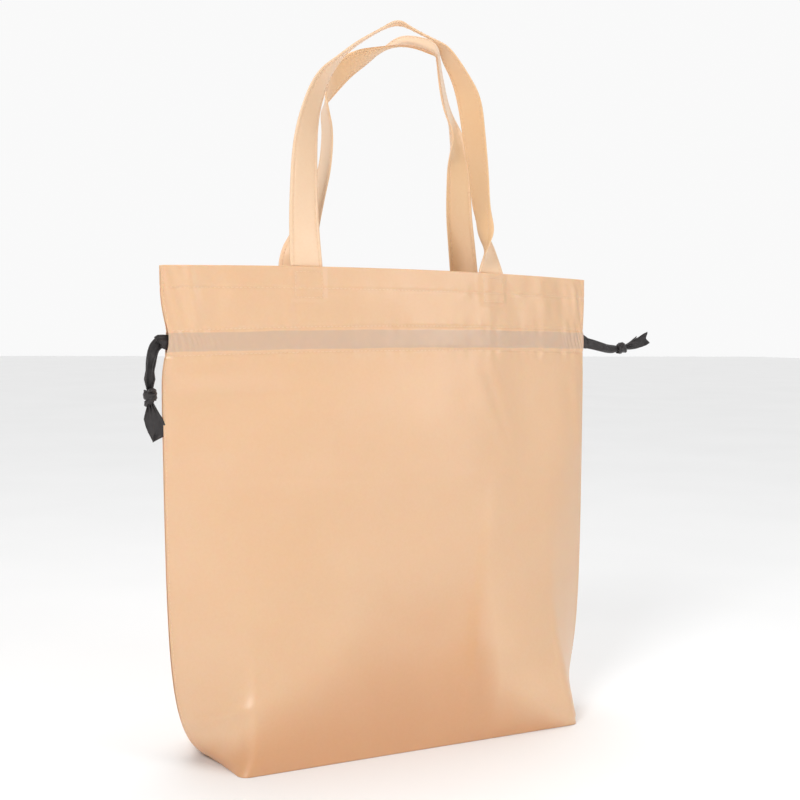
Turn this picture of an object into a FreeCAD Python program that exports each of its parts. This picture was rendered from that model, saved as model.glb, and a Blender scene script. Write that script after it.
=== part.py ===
"""Non-woven drawstring tote bag with two strap handles, standing open. Millimetres, +Z up.

X runs along the bag's width and the front faces -Y. The origin is the centre of the base, on the
surface the bag stands on. Every layer of cloth is laid out on one formula for the bag's wall.
"""
import FreeCAD, Part
import math
import os
from FreeCAD import Vector

# Driving dimensions
HEIGHT = 386.0
BASE_HALF = {-1: 155.0, 1: 160.0}
BASE_DEPTH = 120.0
BASE_CORNER = 8.0
RIM_BULGE = 24.0
RIM_HALF = {-1: 199.0, 1: 199.0}
LOW_HALF = {-1: 190.0, 1: 202.5}
GUSSET_RISE = 24.5
GUSSET_POWER = 0.75
CORNER_FADE = 100.0
CORNER_POWER = 1.75
PINCH = {-1: 5.0, 1: 1.0}
PINCH_LEVEL = 331.0
PINCH_SPREAD = 20.0

CLOTH = 0.6
SEAM_HALF = 1.2
SEAM_EDGE = 0.3
SEAM_FOOT = 8.0
FIN_WIDTH = 9.0
CORNER_INSET = 3.0
FIN_HALF = 0.7
LAYER_GAP = 0.2
EDGE_GAP = 0.5
CHANNEL = (313.0, 343.0)
STITCH_ROWS = (318.7, 338.2)
STITCH_REACH = 0.985
HEM_STITCH = 369.0
HEM_REACH = 0.97
RIBBON_WIDTH = 15.0
RIBBON_LEVEL = 329.0
RIBBON = 0.25
RIBBON_REACH = 0.995
RIBBON_GAP = 0.1

STRAP_WIDTH = 28.0
STRAP = 1.8
STRAP_OFFSET = 2.3
STITCH_INSET = 3.0
ANCHOR_DEPTH = 26.0
FOOT_GAP = 0.5
THREAD = 0.6
THREAD_HEIGHT = 0.2
THREAD_GAP = 0.1
BOX_GAP = 0.4

NECK_GAP = 0.6
NECK_FOOT = (6.0, 1.3)
NECK_TIP = (5.0, 2.0)
STRAND = 6.6
KNOT_LENGTH = 10.0
KNOT_HALF = (4.6, 5.2)
END_WIDTH = 14.0
END_THICKNESS = 0.8
END_LENGTHS = (29.0, 25.0)
END_ROOT = 3.0
END_SPLIT = 0.6
END_SLANT = 3.0
END_BEND = {"left": (-2.0, -5.0, 0), "right": (0, 0, 9)}

# Strap centre line, as (x, y, z, twist in degrees). Twist 0 sets the strap parallel to the wall.
FRONT_STRAP = [
    (-85, -18.5, 387, 0), (-86, -18, 400, -5), (-88, -18, 440, -15), (-88, -19, 480, -22),
    (-83, -19, 511, -36), (-74, -18, 534, -44), (-61, -17, 549, -66), (-46, -16, 564, -79),
    (-26, -15, 577, -85), (-10, -14, 587, -84), (4, -14, 587, -110), (22, -14, 581, -111),
    (38, -15, 576, -112), (43, -16, 566, -97), (54, -18, 550, -91), (64, -18, 531, -77),
    (69, -18, 502, -80), (75, -18, 469, -89), (77, -18, 442, -92), (80, -18, 424, -100),
    (86, -18, 408, -140), (88, -18.5, 387, -172),
]
BACK_STRAP = [
    (-79, 18.5, 387, 0), (-77, 18, 396, 20), (-71, 16, 416, 65), (-62, 15, 445, 84), (-54, 15, 470, 94),
    (-52, 14, 500, 98), (-56, 13, 518, 103), (-54, 13, 530, 126), (-44, 13, 547, 142),
    (-30, 13, 558, 132), (-10, 13, 567, 108), (5, 13, 575, 85), (20, 12, 581, 59), (37, 12, 580, 49),
    (50, 12, 578, 43), (52, 13, 567, 54), (55, 13, 550, 51), (60, 14, 531, 49), (68, 14, 512, 48),
    (72, 16, 493, 30), (75, 16, 471, 11), (77, 18, 440, 6), (81, 18, 410, 3), (84, 18.5, 387, 0),
]

# Gathered drawstring from its exit at the side seam to its knot.
LEFT_ROUTE = [(-198.9, 0, 328.0), (-203.0, -0.8, 325.2), (-205.6, -1.6, 319.2),
              (-207.0, -2.4, 311.0), (-207.9, -2.4, 302.0), (-207.6, -1.6, 294.6), (-207.0, -1.0, 290.6)]
RIGHT_ROUTE = [(203.9, 0, 328.4), (210.4, -1.2, 327.2), (219.4, -1.8, 325.0),
               (229.6, 0.8, 323.2), (238.2, 3.2, 323.2), (243.6, 4.4, 324.0)]

ROWS = (0, 5, 12, 21, 32, 46, 63, 84, 110, 145, 190, 235, 270, 290, 302, 312, 322, 332, 342, 352, 364,
        374, HEIGHT)
COLUMNS = 41


def rise(z):
    """How far the outline has opened from the boxed base (0) to the pointed bag mouth (1)."""
    return 1 - math.exp(-(z / GUSSET_RISE) ** GUSSET_POWER)


def open_half(side, z):
    """Half width of the opened outline at height z, drawn in where the drawstring runs."""
    pinch = PINCH[side] * math.exp(-((z - PINCH_LEVEL) / PINCH_SPREAD) ** 2)
    return LOW_HALF[side] + (RIM_HALF[side] - LOW_HALF[side]) * z / HEIGHT - pinch


def half_width(side, z):
    """Distance of the side seam from the middle at height z."""
    return BASE_HALF[side] * (1 - rise(z)) + open_half(side, z) * rise(z)


def box_point(u):
    """Half outline of the base: u runs from -1 at the left seam to 1 at the right seam."""
    sign = 1 if u >= 0 else -1
    length, depth, r = BASE_HALF[sign], BASE_DEPTH / 2, BASE_CORNER
    flat = length - r
    arc = math.pi * r / 2
    s = abs(u) * (flat + arc + depth - r)
    if s < flat:
        return sign * s, depth
    if s < flat + arc:
        turn = (s - flat) / r
        return sign * (flat + r * math.sin(turn)), depth - r + r * math.cos(turn)
    return sign * length, depth - r - (s - flat - arc)


def wall_middle(face, u, z):
    """Point of the wall's middle surface. face is -1 for the front and 1 for the back."""
    side = 1 if u >= 0 else -1
    box_x, box_y = box_point(u)
    x = box_x * (1 - rise(z)) + u * open_half(side, z) * rise(z)
    bulge = BASE_DEPTH / 2 + (RIM_BULGE - BASE_DEPTH / 2) * z / HEIGHT
    soft = 1 - math.exp(-(z / CORNER_FADE) ** CORNER_POWER)
    depth = bulge * (box_y / (BASE_DEPTH / 2) * (1 - soft) + (1 - u * u) * soft)
    return x, face * (SEAM_HALF + depth)


def wall_point(face, u, z, offset=0.0):
    """Point at an outward offset from the wall's middle surface."""
    step = 0.004
    x, y = wall_middle(face, u, z)
    ax, ay = wall_middle(face, max(-1, u - step), z)
    bx, by = wall_middle(face, min(1, u + step), z)
    length = math.hypot(bx - ax, by - ay)
    nx, ny = face * (ay - by) / length, face * (bx - ax) / length
    return Vector(x + nx * offset, y + ny * offset, z)


def u_at(face, x, z):
    """The u whose wall point lies at x, found by halving."""
    low, high = -1.0, 1.0
    for _ in range(40):
        middle = (low + high) / 2
        if wall_middle(face, middle, z)[0] < x:
            low = middle
        else:
            high = middle
    return low


def clamped_knots(count, degree):
    spans = count - degree
    mults = [degree + 1] + [1] * (spans - 1) + [degree + 1]
    return [float(i) for i in range(spans + 1)], mults


def patch(poles, degree_a, degree_b):
    """Face on a B-spline surface with these rows of poles."""
    surface = Part.BSplineSurface()
    knots_a, mults_a = clamped_knots(len(poles), degree_a)
    knots_b, mults_b = clamped_knots(len(poles[0]), degree_b)
    surface.buildFromPolesMultsKnots(poles, mults_a, mults_b, knots_a, knots_b,
                                     False, False, degree_a, degree_b)
    return surface.toShape()


def slab(outer, inner, degree_a=3, degree_b=3):
    """Closed solid between two pole grids of the same size."""
    faces = [patch(outer, degree_a, degree_b), patch(inner, degree_a, degree_b)]
    for row in (0, -1):
        faces.append(patch([outer[row], inner[row]], 1, degree_b))
    for column in (0, -1):
        edge_out = [row[column] for row in outer]
        edge_in = [row[column] for row in inner]
        faces.append(patch([edge_out, edge_in], 1, degree_a))
    shell = Part.makeShell(faces)
    shell.sewShape()
    solid = Part.makeSolid(Part.Shell(shell.Faces))
    if solid.Volume < 0:
        solid.reverse()
    return solid


def spread(start, end, count):
    return [start + (end - start) * i / (count - 1) for i in range(count)]


def layer(face, us, zs, outer_offset, thickness):
    """One layer of cloth following the wall over these u and z stations."""
    outer = [[wall_point(face, u, z, outer_offset) for u in us] for z in zs]
    inner = [[wall_point(face, u, z, outer_offset - thickness) for u in us] for z in zs]
    return slab(outer, inner)


def panel(face):
    return layer(face, spread(-1, 1, COLUMNS), ROWS, CLOTH / 2, CLOTH)


def hem_facing(face):
    """Cloth turned in over the rim, down to the channel."""
    us = spread(-HEM_REACH, HEM_REACH, COLUMNS)
    zs = spread(CHANNEL[1] + EDGE_GAP, HEIGHT - EDGE_GAP, 6)
    return layer(face, us, zs, -CLOTH / 2 - LAYER_GAP, CLOTH)


def run_offset(layer_index):
    """Outer face of one of the two ribbons that lie on each other in the channel."""
    return -CLOTH / 2 - LAYER_GAP - (RIBBON + RIBBON_GAP) * layer_index


def casing(face):
    """Inner wall of the drawstring's channel."""
    us = spread(-HEM_REACH, HEM_REACH, COLUMNS)
    return layer(face, us, spread(*CHANNEL, 8), run_offset(2), CLOTH)


def ribbon_run(face, layer_index):
    """Part of a drawstring inside the channel; two runs lie on each other in each face."""
    us = spread(-RIBBON_REACH, RIBBON_REACH, COLUMNS)
    low = RIBBON_LEVEL - RIBBON_WIDTH / 2
    return layer(face, us, spread(low, low + RIBBON_WIDTH, 6), run_offset(layer_index), RIBBON)


def base_panel():
    """Flat bottom, just inside the foot of the walls."""
    wires = []
    inset = -CLOTH / 2 - SEAM_EDGE
    for face in (-1, 1):
        points = [wall_point(face, u, 0, inset) for u in spread(-1, 1, COLUMNS)]
        curve = Part.BSplineCurve()
        knots, mults = clamped_knots(len(points), 3)
        curve.buildFromPolesMultsKnots(points, mults, knots, False, 3)
        wires.append(curve.toShape())
    ends = [wire.Vertexes for wire in wires]
    closing = [Part.makeLine(ends[0][i].Point, ends[1][i].Point) for i in (0, 1)]
    outline = Part.Wire(Part.__sortEdges__(wires + closing))
    return Part.Face(outline).extrude(Vector(0, 0, CLOTH))


def corner_seam(side):
    """Seam allowance that lies on the base along its short edge, where the corner is boxed."""
    outer_x = side * (BASE_HALF[side] - CORNER_INSET)
    inner_x = outer_x - side * FIN_WIDTH
    half = BASE_DEPTH / 2 - BASE_CORNER - CORNER_INSET
    low = min(outer_x, inner_x)
    return Part.makeBox(FIN_WIDTH, 2 * half, 2 * CLOTH, Vector(low, -half, CLOTH + LAYER_GAP))


def fin(side, z0, z1):
    """Side seam allowance: both panels' edges, turned into the bag."""
    return seam_strip(side, spread(z0, z1, 14), FIN_HALF, SEAM_EDGE, FIN_WIDTH)


def seam_strip(side, zs, half, near, far):
    """Upright strip at the side seam, between two distances in from the seam's edge."""
    rows = {}
    for y in (-half, half):
        rows[y] = [[Vector(side * (half_width(side, z) - inset), y, z) for inset in (near, far)]
                   for z in zs]
    return slab(rows[half], rows[-half], 3, 1)


def side_seam(side):
    """Allowance of the side seam, split where the drawstring comes out."""
    bottom = 3 * CLOTH + 4 * LAYER_GAP
    lower, upper = fin(side, bottom, CHANNEL[0]), fin(side, CHANNEL[1], HEIGHT - EDGE_GAP)
    return Part.makeCompound([lower, upper])


def stitch_row(face, z):
    """Raised line of thread across one face."""
    us = spread(-STITCH_REACH, STITCH_REACH, COLUMNS)
    return layer(face, us, spread(z, z + THREAD, 4), CLOTH / 2 + THREAD_GAP + THREAD_HEIGHT, THREAD_HEIGHT)


def side_stitching(side):
    """Thread that closes the side seam, seen as a ridge along the seam edge."""
    runs = [seam_strip(side, spread(z0, z1, 14), THREAD / 2, -SEAM_EDGE, 0.1)
            for z0, z1 in ((SEAM_FOOT, CHANNEL[0]), (CHANNEL[1], HEIGHT - EDGE_GAP))]
    return Part.makeCompound(runs)


def strap_frames(stations):
    """Centre, width direction and face normal at each station of a strap."""
    points = [Vector(*station[:3]) for station in stations]
    frames = []
    for i, point in enumerate(points):
        tangent = (points[min(i + 1, len(points) - 1)] - points[max(i - 1, 0)]).normalize()
        if i in (0, len(points) - 1):
            tangent = Vector(0, 0, 1 if i == 0 else -1)
        depth = (Vector(0, 1, 0) - tangent * tangent.y).normalize()
        across = tangent.cross(depth)
        twist = math.radians(stations[i][3])
        width = across * math.cos(twist) + depth * math.sin(twist)
        frames.append((point, width, tangent.cross(width)))
    return frames


def strap_strip(stations, low, high, bottom, top):
    """Strip along a strap, between two distances across it and two heights over its middle."""
    outer, inner = [], []
    for point, width, normal in strap_frames(stations):
        outer.append([point + width * a + normal * top for a in (low, high)])
        inner.append([point + width * a + normal * bottom for a in (low, high)])
    return slab(outer, inner, 2, 1)


def handle(stations):
    return strap_strip(stations, -STRAP_WIDTH / 2, STRAP_WIDTH / 2, -STRAP / 2, STRAP / 2)


def handle_stitching(stations):
    """Two rows of thread near the strap's edges, on both of its faces."""
    rows = []
    edge = STRAP_WIDTH / 2 - STITCH_INSET
    low = STRAP / 2 + THREAD_GAP
    high = low + THREAD_HEIGHT
    for place in (-edge, edge - THREAD):
        for bottom, top in ((low, high), (-high, -low)):
            rows.append(strap_strip(stations, place, place + THREAD, bottom, top))
    return Part.makeCompound(rows)


def anchor_span(face, station):
    """u range of a handle's foot on the rim."""
    x = station[0]
    return u_at(face, x - STRAP_WIDTH / 2, HEIGHT), u_at(face, x + STRAP_WIDTH / 2, HEIGHT)


def handle_end(face, station):
    """End of a handle, sewn inside the hem."""
    u0, u1 = anchor_span(face, station)
    zs = spread(HEIGHT - ANCHOR_DEPTH, HEIGHT, 4)
    return layer(face, spread(u0, u1, 6), zs, -STRAP_OFFSET + STRAP / 2, STRAP)


def end_stitching(face, stations):
    """Box of thread on the outside of the hem at both ends of a handle."""
    rows = []
    offset = CLOTH / 2 + THREAD_GAP + THREAD_HEIGHT
    bottom, top = HEIGHT - ANCHOR_DEPTH + 2, HEIGHT - 4
    below_hem = (bottom + THREAD + BOX_GAP, HEM_STITCH - BOX_GAP)
    above_hem = (HEM_STITCH + THREAD + BOX_GAP, top - BOX_GAP)
    for station in (stations[0], stations[-1]):
        u0, u1 = anchor_span(face, station)
        inset = (u1 - u0) * STITCH_INSET / STRAP_WIDTH
        for z in (bottom, top):
            us = spread(u0 + inset, u1 - inset, 6)
            rows.append(layer(face, us, spread(z, z + THREAD, 4), offset, THREAD_HEIGHT))
        for u in (u0 + inset, u1 - inset):
            us = spread(u, u + THREAD / RIM_HALF[1], 4)
            for z0, z1 in (below_hem, above_hem):
                rows.append(layer(face, us, spread(z0, z1, 4), offset, THREAD_HEIGHT))
    return Part.makeCompound(rows)


def ring(centre, half_height, half_depth):
    """Closed upright ellipse in the YZ plane, taller than it is deep."""
    top, edge = centre + Vector(0, 0, half_height), centre + Vector(0, half_depth, 0)
    return Part.Wire(Part.Ellipse(top, edge, centre).toShape())


def pull_neck(side, start):
    """Gathered ribbon just outside the slot in the side seam."""
    x0 = side * (half_width(side, RIBBON_LEVEL) + NECK_GAP)
    x1 = start[0] - side * (STRAND / 2 + LAYER_GAP)
    rings = [ring(Vector(x0, 0, RIBBON_LEVEL), *NECK_FOOT), ring(Vector(x1, 0, start[2]), *NECK_TIP)]
    return Part.makeLoft(rings, True)


def route_path(route):
    """Straight runs joined by tangent arcs. Returns the wire and the arc radii."""
    points = [Vector(*p) for p in route]
    edges, radii = [], []
    start = points[0]
    for before, corner, after in zip(points, points[1:], points[2:]):
        come, go = (corner - before), (after - corner)
        cut = 0.45 * min(come.Length, go.Length)
        turn = come.getAngle(go)
        radii.append(cut / math.tan(turn / 2))
        come.normalize()
        go.normalize()
        enter, leave = corner - come * cut, corner + go * cut
        bisector = (go - come).normalize()
        centre_distance = radii[-1] / math.cos(turn / 2)
        middle = corner + bisector * (centre_distance - radii[-1])
        edges.append(Part.LineSegment(start, enter).toShape())
        edges.append(Part.Arc(enter, middle, leave).toShape())
        start = leave
    edges.append(Part.LineSegment(start, points[-1]).toShape())
    return Part.Wire(edges), radii


def strand(name, route):
    """Gathered drawstring as a plain tube."""
    path, radii = route_path(route)
    first, second = Vector(*route[0]), Vector(*route[1])
    circle = Part.Wire(Part.makeCircle(STRAND / 2, first, second - first))
    tube = path.makePipeShell([circle], True, False, 1)
    expected = math.pi * STRAND ** 2 / 4 * path.Length
    print(name, "length %.1f" % path.Length, "volume ratio %.3f" % (tube.Volume / expected),
          "radii", " ".join("%.1f" % r for r in radii))
    return tube


def end_direction(route):
    return (Vector(*route[-1]) - Vector(*route[-2])).normalize()


def knot(route):
    """Overhand knot as one rounded solid."""
    direction = end_direction(route)
    centre = Vector(*route[-1]) + direction * (KNOT_LENGTH / 2 + 0.1)
    ball = Part.makeSphere(1.0)
    stretch = FreeCAD.Matrix()
    stretch.scale(*KNOT_HALF, KNOT_LENGTH / 2)
    body = ball.transformGeometry(stretch)
    turn = FreeCAD.Rotation(Vector(0, 0, 1), direction)
    body.Placement = FreeCAD.Placement(centre, turn)
    return body


def ribbon_ends(route, bend):
    """The two free ends under the knot, spreading to the full ribbon width and cut at a slant."""
    direction = end_direction(route)
    start = Vector(*route[-1]) + direction * (KNOT_LENGTH + 0.5)
    flat = Vector(0, 1, 0)
    across = direction.cross(flat).normalize()
    ends = []
    for lift, length in ((END_SPLIT, END_LENGTHS[0]), (-END_SPLIT - END_THICKNESS, END_LENGTHS[1])):
        outer, inner = [], []
        for share in spread(0, 1, 8):
            along = start + direction * length * share + bend * share * share
            flare = math.sin(min(1, share * 1.6) * math.pi / 2)
            half = END_ROOT + (END_WIDTH / 2 - END_ROOT) * flare
            slant = direction * (END_SLANT * share)
            fan = flat * (lift * (1 + 2 * share))
            low, high = along - across * half - slant + fan, along + across * half + slant + fan
            outer.append([low + flat * END_THICKNESS, high + flat * END_THICKNESS])
            inner.append([low, high])
        ends.append(slab(outer, inner, 2, 1))
    return Part.makeCompound(ends)


def foot_on_rim(stations):
    """Stations whose first and last lie just above the rim."""
    fixed = [list(s) for s in stations]
    for i in (0, -1):
        fixed[i][2] = HEIGHT + FOOT_GAP
    return fixed


def save(name, shape):
    solids = len(shape.Solids)
    if not shape.isValid() or solids == 0:
        print("NOT VALID", name)
    print("%-28s solids %2d volume %9.1f" % (name, solids, shape.Volume))
    shape.exportStep("parts/%s.step" % name)


os.makedirs("parts", exist_ok=True)
FACES = {"front": -1, "back": 1}
SIDES = {"left": -1, "right": 1}
STRAPS = {"front": foot_on_rim(FRONT_STRAP), "back": foot_on_rim(BACK_STRAP)}
ROUTES = {"left": LEFT_ROUTE, "right": RIGHT_ROUTE}

save("base_panel", base_panel())
for name, face in FACES.items():
    save(name + "_panel", panel(face))
    save(name + "_hem_facing", hem_facing(face))
    save(name + "_casing", casing(face))
    save("left_drawstring_%s_run" % name, ribbon_run(face, 0))
    save("right_drawstring_%s_run" % name, ribbon_run(face, 1))
    save(name + "_hem_stitching", stitch_row(face, HEM_STITCH))
    channel_rows = [stitch_row(face, z) for z in STITCH_ROWS]
    save(name + "_casing_stitching", Part.makeCompound(channel_rows))
    save(name + "_handle", handle(STRAPS[name]))
    save(name + "_handle_stitching", handle_stitching(STRAPS[name]))
    save(name + "_handle_left_end", handle_end(face, STRAPS[name][0]))
    save(name + "_handle_right_end", handle_end(face, STRAPS[name][-1]))
    save(name + "_end_stitching", end_stitching(face, STRAPS[name]))
for name, side in SIDES.items():
    save(name + "_corner_seam", corner_seam(side))
    save(name + "_side_seam", side_seam(side))
    save(name + "_side_stitching", side_stitching(side))
    save(name + "_pull_neck", pull_neck(side, ROUTES[name][0]))
    save(name + "_drawstring_strand", strand(name, ROUTES[name]))
    save(name + "_knot", knot(ROUTES[name]))
    save(name + "_ribbon_ends", ribbon_ends(ROUTES[name], Vector(*END_BEND[name])))
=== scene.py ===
"""Looks of the drawstring tote bag, built in the frame of its CAD model. Metres, +Z up, front at -Y."""
import math
import bpy
import numpy as np
from mathutils import Matrix, Vector


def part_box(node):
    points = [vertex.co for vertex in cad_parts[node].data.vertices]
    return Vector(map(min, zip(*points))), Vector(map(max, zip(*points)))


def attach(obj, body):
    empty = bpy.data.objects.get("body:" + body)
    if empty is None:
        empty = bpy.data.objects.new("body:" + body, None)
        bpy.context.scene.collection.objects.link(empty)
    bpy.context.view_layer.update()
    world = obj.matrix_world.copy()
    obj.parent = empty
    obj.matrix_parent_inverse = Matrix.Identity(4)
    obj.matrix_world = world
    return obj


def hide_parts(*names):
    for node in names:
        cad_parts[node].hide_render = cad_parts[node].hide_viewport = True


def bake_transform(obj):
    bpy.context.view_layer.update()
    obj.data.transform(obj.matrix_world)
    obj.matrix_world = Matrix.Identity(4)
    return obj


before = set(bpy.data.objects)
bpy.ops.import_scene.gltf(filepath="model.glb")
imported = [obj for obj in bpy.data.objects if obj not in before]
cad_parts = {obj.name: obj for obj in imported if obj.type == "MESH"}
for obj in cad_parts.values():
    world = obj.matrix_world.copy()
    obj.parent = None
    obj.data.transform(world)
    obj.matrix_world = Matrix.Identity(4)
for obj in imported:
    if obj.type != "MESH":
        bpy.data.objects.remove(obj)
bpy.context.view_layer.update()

MM = 0.001
PI = math.pi
DEPTH_AXIS = np.array([0.0, 1.0, 0.0])

# ---- camera ----

CAMERA_YAW = math.radians(-28.911)
CAMERA_PITCH = math.radians(3.212)
CAMERA_ROLL = math.radians(0.786)
CAMERA_DISTANCE = 1.1142
CAMERA_TARGET = Vector((0.01126, 0.0, 0.28012))
CAMERA_LENS = 59.59


def make_camera():
    camera = bpy.data.objects.new("camera", bpy.data.cameras.new("camera"))
    bpy.context.scene.collection.objects.link(camera)
    back = Vector((math.sin(CAMERA_YAW) * math.cos(CAMERA_PITCH),
                   -math.cos(CAMERA_YAW) * math.cos(CAMERA_PITCH),
                   math.sin(CAMERA_PITCH)))
    camera.location = CAMERA_TARGET + back * CAMERA_DISTANCE
    right = (-back).cross(Vector((0, 0, 1))).normalized()
    up = back.cross(right)
    tilted_right = right * math.cos(CAMERA_ROLL) + up * math.sin(CAMERA_ROLL)
    tilted_up = up * math.cos(CAMERA_ROLL) - right * math.sin(CAMERA_ROLL)
    camera.rotation_mode = "QUATERNION"
    camera.rotation_quaternion = Matrix((tilted_right, tilted_up, back)).transposed().to_quaternion()
    camera.data.lens = CAMERA_LENS
    camera.data.sensor_width = 36.0
    bpy.context.scene.camera = camera


make_camera()

# ---- materials ----


def eased(tree, value, start, end, low, high):
    """Node output that passes smoothly from low to high as the value goes from start to end."""
    node = tree.nodes.new("ShaderNodeMapRange")
    node.interpolation_type = "SMOOTHSTEP"
    tree.links.new(value, node.inputs["Value"])
    for key, limit in zip(("From Min", "From Max", "To Min", "To Max"), (start, end, low, high)):
        node.inputs[key].default_value = limit
    return node.outputs["Result"]


class Nodes:
    """Small helper that adds and links shader nodes of one material."""

    def __init__(self, name):
        self.material = bpy.data.materials.new(name)
        self.material.use_nodes = True
        self.tree = self.material.node_tree
        self.shader = self.tree.nodes["Principled BSDF"]
        self.place = self.tree.nodes.new("ShaderNodeTexCoord").outputs["Object"]

    def feed(self, node, key, value):
        socket = node.inputs[key]
        if isinstance(value, bpy.types.NodeSocket):
            self.tree.links.new(value, socket)
        else:
            socket.default_value = value

    def add(self, kind, **inputs):
        node = self.tree.nodes.new(kind)
        for key, value in inputs.items():
            self.feed(node, key.replace("_", " "), value)
        return node

    def math(self, operation, a, b=0.0, clamp=False):
        node = self.tree.nodes.new("ShaderNodeMath")
        node.operation = operation
        node.use_clamp = clamp
        self.feed(node, 0, a)
        self.feed(node, 1, b)
        return node.outputs[0]

    def uneven(self, scale, size):
        """Soft noise between minus and plus half of the size."""
        return self.math("MULTIPLY", self.math("SUBTRACT", self.noise(scale, 2.0), 0.5), size)

    def noise(self, scale, detail=3.0, roughness=0.5):
        return self.add("ShaderNodeTexNoise", Scale=scale, Detail=detail, Roughness=roughness,
                        Vector=self.place).outputs["Fac"]

    def ramp(self, value, stops):
        node = self.add("ShaderNodeValToRGB", Fac=value)
        elements = node.color_ramp.elements
        while len(elements) < len(stops):
            elements.new(0.5)
        for element, (position, colour) in zip(elements, stops):
            element.position = position
            element.color = (*colour, 1.0)
        return node.outputs["Color"]

    def mix(self, factor, a, b, blend="MIX"):
        node = self.tree.nodes.new("ShaderNodeMix")
        node.data_type = "RGBA"
        node.blend_type = blend
        self.feed(node, 0, factor)
        for index, colour in ((6, a), (7, b)):
            self.feed(node, index, (*colour, 1.0) if isinstance(colour, tuple) else colour)
        return node.outputs[2]

    def bump(self, layers):
        """Stack of (height, distance in metres, strength) layers."""
        normal = None
        for height, distance, strength in layers:
            node = self.add("ShaderNodeBump", Strength=strength, Distance=distance, Height=height)
            if normal is not None:
                self.tree.links.new(normal, node.inputs["Normal"])
            normal = node.outputs["Normal"]
        self.tree.links.new(normal, self.shader.inputs["Normal"])

    def set(self, **values):
        for key, value in values.items():
            self.feed(self.shader, key.replace("_", " "), value)


def srgb(r, g, b):
    """Linear colour from 8-bit display values."""
    def one(c):
        c /= 255
        return c / 12.92 if c <= 0.04045 else ((c + 0.055) / 1.055) ** 2.4
    return one(r), one(g), one(b)


CLOTH_LIGHT = srgb(232, 191, 153)
CLOTH_DARK = srgb(229, 185, 145)
BAND_COLOUR = srgb(206, 176, 152)
# Painted shade: the cloth's colour is multiplied by this, deeper and more orange, towards the bag's foot.
FOOT_PAINTED_SHADE = (0.87, 0.72, 0.60)
# Point attribute with the share of painted shade on each strap point.
STRAP_SHADE_SHARE = "strap_painted_shade"
# The painted shade at the foot reaches up in a dome, which leans over above the pivot's height.
FOOT_DOME_HEIGHT, FOOT_DOME_SPAN = 150 * MM, 400 * MM
FOOT_DOME_LEAN, FOOT_DOME_PIVOT = 0.15, 40 * MM
# Share of the dome's height that the painted shade reaches, against the share of its span from the left.
FOOT_DOME = [(0.0, 0.10), (0.125, 0.15), (0.17, 0.33), (0.275, 0.55), (0.40, 0.86), (0.60, 0.95),
             (0.6375, 0.95), (0.69, 0.36), (0.775, 0.20), (0.875, 0.06), (1.0, 0.04)]


def spunbond_height(n):
    """Bond points in a grid about 1.1 mm apart, pressed into a web of fine fibres."""
    points = n.add("ShaderNodeTexVoronoi", Scale=900.0, Randomness=0.25, Vector=n.place)
    dimples = n.math("SMOOTH_MIN", points.outputs["Distance"], 0.45)
    fibres = n.noise(2600.0, 4.0, 0.7)
    return dimples, fibres


def cloth_material(name, light, dark, band=False, inside=None, glow=0.30, depth=1.0 * MM, relief=1.0):
    """Peach non-woven cloth: fine web, bond points, a soft gloss and light passing through it, with painted
    shade at the foot or on a strap's turned face where asked.
    """
    n = Nodes(name)
    cloud = n.noise(24.0, 3.0, 0.5)
    web = n.noise(420.0, 5.0, 0.65)
    tone = n.math("ADD", n.math("MULTIPLY", cloud, 0.45), n.math("MULTIPLY", web, 0.55))
    colour = n.ramp(tone, [(0.30, dark), (0.70, light)])
    dimples, fibres = spunbond_height(n)
    pressed = n.math("LESS_THAN", dimples, 0.17)
    colour = n.mix(n.math("MULTIPLY", pressed, 0.08), colour, srgb(226, 180, 140))
    # Painted shade deepens the cloth towards its foot; the dark ribbon shows through along the channel.
    if band:
        colour = n.mix(painted_foot_shade_mask(n), colour, FOOT_PAINTED_SHADE, "MULTIPLY")
        colour = n.mix(band_mask(n), colour, BAND_COLOUR)
    # Painted shade: the strap's face turned from the light is multiplied by the inside colour.
    if inside:
        shade = n.add("ShaderNodeAttribute")
        shade.attribute_name = STRAP_SHADE_SHARE
        colour = n.mix(shade.outputs["Fac"], colour, inside, "MULTIPLY")
    n.set(Base_Color=colour, Roughness=n.math("ADD", n.math("MULTIPLY", web, 0.10), 0.35))
    n.set(Sheen_Weight=0.10, Sheen_Roughness=0.45)
    n.shader.inputs["Specular IOR Level"].default_value = 0.8
    n.set(Subsurface_Weight=glow, Subsurface_Scale=depth)
    n.shader.inputs["Subsurface Radius"].default_value = (1.0, 0.40, 0.16)
    n.bump([(fibres, 0.00010, 0.3 * relief), (dimples, 0.00014, 0.4 * relief), (cloud, 0.0008, 0.06)])
    return n.material


def painted_foot_shade_mask(n):
    """Painted shade that deepens the cloth towards its foot: a dome between the corner folds."""
    split = n.add("ShaderNodeSeparateXYZ", Vector=n.place)
    x, z = split.outputs["X"], split.outputs["Z"]
    drift = n.uneven(9.0, 30 * MM)
    lean = n.math("MULTIPLY", n.math("SUBTRACT", z, FOOT_DOME_PIVOT), FOOT_DOME_LEAN)
    share = n.math("ADD", n.math("DIVIDE", n.math("SUBTRACT", x, lean), FOOT_DOME_SPAN), 0.5, clamp=True)
    dome = n.ramp(share, [(place, (height, height, height)) for place, height in FOOT_DOME])
    top = n.math("MULTIPLY", dome, FOOT_DOME_HEIGHT)
    return eased(n.tree, n.math("DIVIDE", n.math("ADD", z, drift), top), 0.10, 1.15, 1.0, 0.0)


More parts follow.
